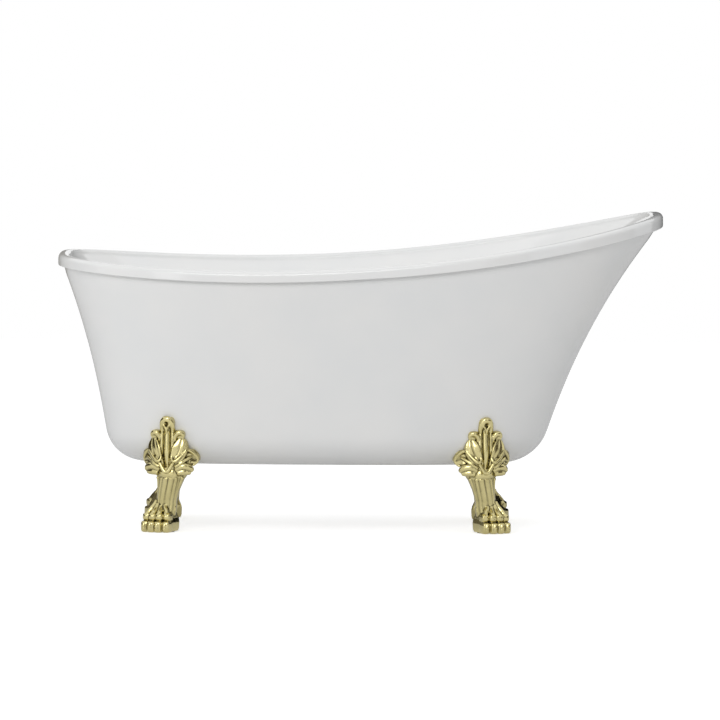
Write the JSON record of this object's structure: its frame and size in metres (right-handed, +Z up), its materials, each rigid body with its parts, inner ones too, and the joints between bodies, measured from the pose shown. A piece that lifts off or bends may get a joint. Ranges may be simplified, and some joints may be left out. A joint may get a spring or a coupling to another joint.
{
  "type": "clawfoot bathtub",
  "caption": "Free-standing single-slipper bathtub with a rolled rim on cast claw feet, with pop-up waste, overflow and levelling feet.",
  "frame": {"origin": "on the floor under the middle of the tub, z = 0 at the undersides of the levelling pads", "axes": "+X to the high head end, -X to the low tap end, +Y to the far long side, +Z up"},
  "size_m": [1.5, 0.7483, 0.783],
  "materials": {
    "white_acrylic": "high-gloss white acrylic sheet",
    "gold_casting": "polished champagne-gold plating on a casting",
    "plywood": "plain exterior plywood",
    "frame_steel": "dark grey powder coat",
    "zinc_steel": "bright zinc plate",
    "pad_nylon": "black nylon",
    "black_rubber": "matt black rubber",
    "raw_brass": "plain drawn brass",
    "gold_brass": "polished champagne-gold plating on brass"
  },
  "bodies": {
    "tub": {"base_board": "plywood", "basin": "white_acrylic", "claw_foot_head_far": "gold_casting", "claw_foot_head_near": "gold_casting", "claw_foot_tap_far": "gold_casting", "claw_foot_tap_near": "gold_casting", "cross_member_head": "frame_steel", "cross_member_middle": "frame_steel", "cross_member_tap": "frame_steel", "drain_flange": "gold_brass", "drain_gasket": "black_rubber", "drain_lock_nut": "raw_brass", "foot_bolts": "zinc_steel", "foot_bracket_head_far": "frame_steel", "foot_bracket_head_near": "frame_steel", "foot_bracket_tap_far": "frame_steel", "foot_bracket_tap_near": "frame_steel", "foot_nuts": "zinc_steel", "foot_washers": "zinc_steel", "frame_rail_far": "frame_steel", "frame_rail_near": "frame_steel", "leveller_lock_nuts": "zinc_steel", "outer_skirt": "white_acrylic", "overflow_elbow": "raw_brass", "overflow_gasket": "black_rubber", "overflow_pipe": "raw_brass", "overflow_pipe_nuts": "raw_brass", "overflow_plate": "gold_brass", "overflow_screw": "gold_brass", "waste_tee": "raw_brass"},
    "stopper": {"stopper_cap": "gold_brass", "stopper_stem": "gold_brass", "stopper_seal": "black_rubber"},
    "leveller_tap_near": {"leveller_pad_tap_near": "pad_nylon", "leveller_stud_tap_near": "zinc_steel"},
    "leveller_tap_far": {"leveller_pad_tap_far": "pad_nylon", "leveller_stud_tap_far": "zinc_steel"},
    "leveller_head_near": {"leveller_pad_head_near": "pad_nylon", "leveller_stud_head_near": "zinc_steel"},
    "leveller_head_far": {"leveller_pad_head_far": "pad_nylon", "leveller_stud_head_far": "zinc_steel"}
  },
  "joints": [
    {"name": "stopper_lift", "type": "slide", "parent": "tub", "child": "stopper", "axis": [0, 0, 1], "range_m": [0, 0.009]},
    {"name": "leveller_slide_tap_near", "type": "slide", "parent": "tub", "child": "leveller_tap_near", "axis": [0, 0, -1], "range_m": [0, 0.01]},
    {"name": "leveller_slide_tap_far", "type": "slide", "parent": "tub", "child": "leveller_tap_far", "axis": [0, 0, -1], "range_m": [0, 0.01]},
    {"name": "leveller_slide_head_near", "type": "slide", "parent": "tub", "child": "leveller_head_near", "axis": [0, 0, -1], "range_m": [0, 0.01]},
    {"name": "leveller_slide_head_far", "type": "slide", "parent": "tub", "child": "leveller_head_far", "axis": [0, 0, -1], "range_m": [0, 0.01]}
  ]
}
